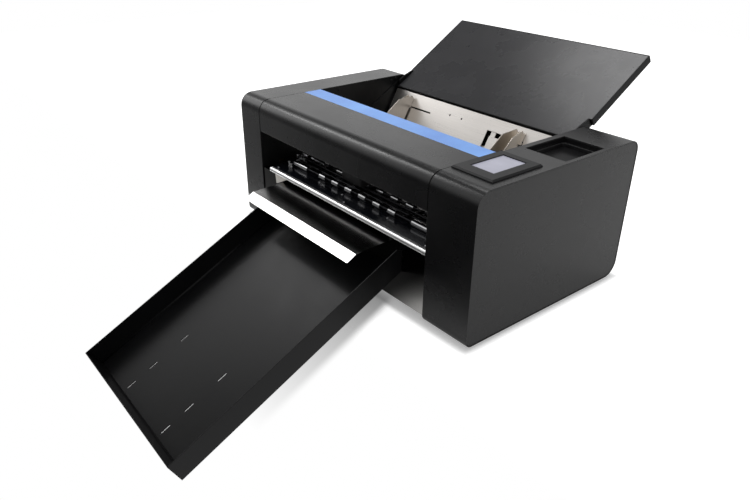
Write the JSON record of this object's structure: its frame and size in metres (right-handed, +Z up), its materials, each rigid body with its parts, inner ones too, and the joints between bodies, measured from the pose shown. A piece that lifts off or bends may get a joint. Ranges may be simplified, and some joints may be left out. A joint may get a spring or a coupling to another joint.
{
  "type": "desktop card cutter",
  "caption": "Desktop sheet-fed cutter: lidded hopper with sliding guides, driven and pinch rollers, cutting carriage on a beam, touch screen and a sloping output tray.",
  "frame": {"origin": "centre of the body's footprint, on the underside of the base pan", "axes": "+X to the right and +Y to the back as seen by a user in front of the output tray, +Z up"},
  "size_m": [0.68, 1.0175, 0.5128],
  "materials": {
    "black_coat": "fine-textured powder coat",
    "blue_coat": "cornflower blue, matt paint",
    "hopper_steel": "light warm brush",
    "panel_steel": "brushed",
    "guide_steel": "bright rolled",
    "mirror_steel": "polished",
    "gloss_coat": "gloss coat",
    "silver": "turned",
    "ground_steel": "ground",
    "black_plastic": "moulded",
    "motor_black": "satin",
    "rubber": "matt",
    "screen": "lit display under glass",
    "pale_strip": "moulded",
    "bronze": "sintered",
    "plated_box": "zinc plated",
    "board_green": "solder mask",
    "tray_coat": "satin powder coat"
  },
  "bodies": {
    "body": {"left_pod_wrap": "black_coat", "right_pod_wrap": "black_coat", "side_panels": "black_coat", "storage_tray": "black_coat", "screen_bezel": "black_plastic", "touch_screen": "screen", "left_side_frame": "black_coat", "right_side_frame": "black_coat", "shaft_bearings": "bronze", "front_hood": "black_coat", "top_crossbar": "black_coat", "trim_strip": "blue_coat", "base_pan": "black_coat", "lower_front_panel": "panel_steel", "rubber_feet": "rubber", "rear_panel": "black_coat", "power_inlet": "black_plastic", "platen": "gloss_coat", "cutting_strip": "pale_strip", "platen_nose": "silver", "platen_support": "plated_box", "exit_deflector": "mirror_steel", "feed_motor": "motor_black", "feed_belt": "rubber", "pinch_brackets": "guide_steel", "carriage_beam": "black_coat", "guide_rail": "ground_steel", "carriage_motor": "motor_black", "carriage_belt": "rubber", "hopper_plate": "hopper_steel", "feed_chute": "hopper_steel", "hopper_cheeks": "black_coat", "pickup_motor": "motor_black", "power_supply": "plated_box", "main_board": "board_green"},
    "lid": {"lid_outer": "black_coat", "lid_inner": "black_coat", "lid_hinge_arms": "ground_steel"},
    "tray": {"output_tray": "tray_coat"},
    "carriage": {"carriage_block": "silver", "carriage_cover": "black_plastic"},
    "holder": {"tool_holder": "silver"},
    "blade": {"cutting_blade": "ground_steel"},
    "front_shaft": {"front_feed_shaft": "ground_steel"},
    "rear_shaft": {"rear_feed_shaft": "ground_steel"},
    "motor_pulley": {"feed_motor_pulley": "silver"},
    "front_rocker": {"front_pinch_rocker": "ground_steel"},
    "front_rollers": {"front_pinch_rollers": "silver"},
    "rear_rocker": {"rear_pinch_rocker": "ground_steel"},
    "rear_rollers": {"rear_pinch_rollers": "silver"},
    "drive_pulley": {"belt_drive_pulley": "silver"},
    "idler_pulley": {"belt_idler_pulley": "silver"},
    "pickup": {"pickup_shaft": "rubber"},
    "pickup_drive": {"pickup_pinion": "silver"},
    "guide_l": {"left_guide": "guide_steel"},
    "guide_r": {"right_guide": "guide_steel"},
    "pinion": {"guide_pinion": "silver"},
    "lift": {"lift_plate": "hopper_steel"},
    "switch": {"power_switch": "black_plastic"}
  },
  "joints": [
    {"name": "lid_hinge", "type": "hinge", "parent": "body", "child": "lid", "pos_m": [0, 0.176, 0.2531], "axis": [1, 0, 0], "range_deg": [0, 148.3]},
    {"name": "tray_hook", "type": "hinge", "parent": "body", "child": "tray", "pos_m": [0.0028, -0.196, 0.106], "axis": [-1, 0, 0], "range_deg": [0, 13]},
    {"name": "carriage_travel", "type": "slide", "parent": "body", "child": "carriage", "axis": [1, 0, 0], "range_m": [-0.148, 0.215]},
    {"name": "tool_plunge", "type": "slide", "parent": "carriage", "child": "holder", "axis": [0, 0, -1], "range_m": [0, 0.0028], "stiffness_N_per_m": 300, "springref_m": -0.004},
    {"name": "blade_swivel", "type": "hinge", "parent": "holder", "child": "blade", "pos_m": [-0.037, -0.1335, 0.15], "axis": [0, 0, 1], "continuous": true},
    {"name": "front_feed", "type": "hinge", "parent": "body", "child": "front_shaft", "pos_m": [-0.0024, -0.155, 0.1263], "axis": [1, 0, 0], "continuous": true},
    {"name": "rear_feed", "type": "hinge", "parent": "body", "child": "rear_shaft", "pos_m": [-0.0024, -0.112, 0.1263], "axis": [1, 0, 0], "continuous": true},
    {"name": "feed_drive", "type": "hinge", "parent": "body", "child": "motor_pulley", "pos_m": [0.248, -0.1335, 0.078], "axis": [1, 0, 0], "continuous": true},
    {"name": "front_pinch_lift", "type": "hinge", "parent": "body", "child": "front_rocker", "pos_m": [-0.0024, -0.141, 0.1411], "axis": [-1, 0, 0], "range_deg": [0, 6]},
    {"name": "front_pinch_turn", "type": "hinge", "parent": "front_rocker", "child": "front_rollers", "pos_m": [-0.0024, -0.155, 0.1411], "axis": [1, 0, 0], "continuous": true},
    {"name": "rear_pinch_lift", "type": "hinge", "parent": "body", "child": "rear_rocker", "pos_m": [-0.0024, -0.126, 0.1411], "axis": [1, 0, 0], "range_deg": [0, 6]},
    {"name": "rear_pinch_turn", "type": "hinge", "parent": "rear_rocker", "child": "rear_rollers", "pos_m": [-0.0024, -0.112, 0.1411], "axis": [1, 0, 0], "continuous": true},
    {"name": "drive_pulley_turn", "type": "hinge", "parent": "body", "child": "drive_pulley", "pos_m": [0.216, -0.075, 0.206], "axis": [0, 0, 1], "continuous": true},
    {"name": "idler_pulley_turn", "type": "hinge", "parent": "body", "child": "idler_pulley", "pos_m": [-0.245, -0.075, 0.206], "axis": [0, 0, 1], "continuous": true},
    {"name": "pickup_turn", "type": "hinge", "parent": "body", "child": "pickup", "pos_m": [-0.0024, 0.10601, 0.1734], "axis": [1, 0, 0], "continuous": true},
    {"name": "pickup_drive_turn", "type": "hinge", "parent": "body", "child": "pickup_drive", "pos_m": [-0.275, 0.10601, 0.1454], "axis": [1, 0, 0], "continuous": true},
    {"name": "guide_spread", "type": "slide", "parent": "body", "child": "guide_l", "axis": [1, 0, 0], "range_m": [0, 0.063]},
    {"name": "guide_follow", "type": "slide", "parent": "body", "child": "guide_r", "axis": [1, 0, 0], "range_m": [-0.063, 0]},
    {"name": "guide_pinion_turn", "type": "hinge", "parent": "body", "child": "pinion", "pos_m": [-0.038, 0.14429, 0.19265], "axis": [0, 0.8712, -0.4909], "continuous": true},
    {"name": "lift_plate_hinge", "type": "hinge", "parent": "body", "child": "lift", "pos_m": [0.072, 0.12376, 0.16864], "axis": [1, 0, 0], "range_deg": [0, 3]},
    {"name": "switch_rock", "type": "hinge", "parent": "body", "child": "switch", "pos_m": [-0.192, 0.195, 0.06], "axis": [1, 0, 0], "range_deg": [0, 16]}
  ],
  "couplings": [
    {"joint": "rear_feed", "follows": "front_feed", "ratio": 1},
    {"joint": "feed_drive", "follows": "front_feed", "ratio": 2},
    {"joint": "front_pinch_turn", "follows": "front_feed", "ratio": -1.2308},
    {"joint": "rear_pinch_turn", "follows": "front_feed", "ratio": -1.2308},
    {"joint": "drive_pulley_turn", "follows": "carriage_travel", "rad_per_m": 117.65},
    {"joint": "idler_pulley_turn", "follows": "carriage_travel", "rad_per_m": 117.65},
    {"joint": "pickup_drive_turn", "follows": "pickup_turn", "ratio": -2.5},
    {"joint": "guide_follow", "follows": "guide_spread", "ratio": -1},
    {"joint": "guide_pinion_turn", "follows": "guide_spread", "rad_per_m": 100}
  ]
}
